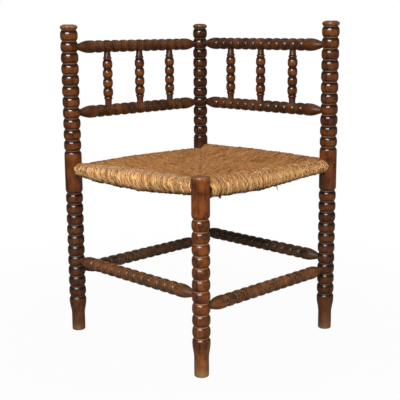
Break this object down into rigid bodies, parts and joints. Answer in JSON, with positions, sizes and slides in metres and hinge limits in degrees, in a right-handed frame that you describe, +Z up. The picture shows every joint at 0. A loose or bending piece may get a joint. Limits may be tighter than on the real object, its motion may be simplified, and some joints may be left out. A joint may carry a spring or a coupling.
{
  "type": "corner chair",
  "caption": "Corner chair with bobbin-turned posts, rails, spindles and stretchers and a woven rush seat set corner to the front.",
  "frame": {"origin": "on the floor, midway between the four posts", "axes": "+Z up; the front post stands towards -Y, the back post towards +Y, the left post towards -X and the right post towards +X"},
  "size_m": [0.6582, 0.6554, 0.755],
  "materials": {
    "turned_posts": "satin",
    "turned_back": "satin",
    "turned_stretchers": "satin",
    "hidden_rails": "matte",
    "rush": "matte"
  },
  "bodies": {
    "root": {"left_post": "turned_posts", "back_post": "turned_posts", "right_post": "turned_posts", "front_post": "turned_posts", "left_crest_rail": "turned_back", "left_lower_rail": "turned_back", "right_crest_rail": "turned_back", "right_lower_rail": "turned_back", "left_spindle_1": "turned_back", "left_spindle_2": "turned_back", "left_spindle_3": "turned_back", "right_spindle_1": "turned_back", "right_spindle_2": "turned_back", "right_spindle_3": "turned_back", "front_left_stretcher": "turned_stretchers", "front_right_stretcher": "turned_stretchers", "back_left_stretcher": "turned_stretchers", "back_right_stretcher": "turned_stretchers", "front_left_seat_rail": "hidden_rails", "front_right_seat_rail": "hidden_rails", "back_left_seat_rail": "hidden_rails", "back_right_seat_rail": "hidden_rails", "rush_seat": "rush"}
  },
  "joints": []
}
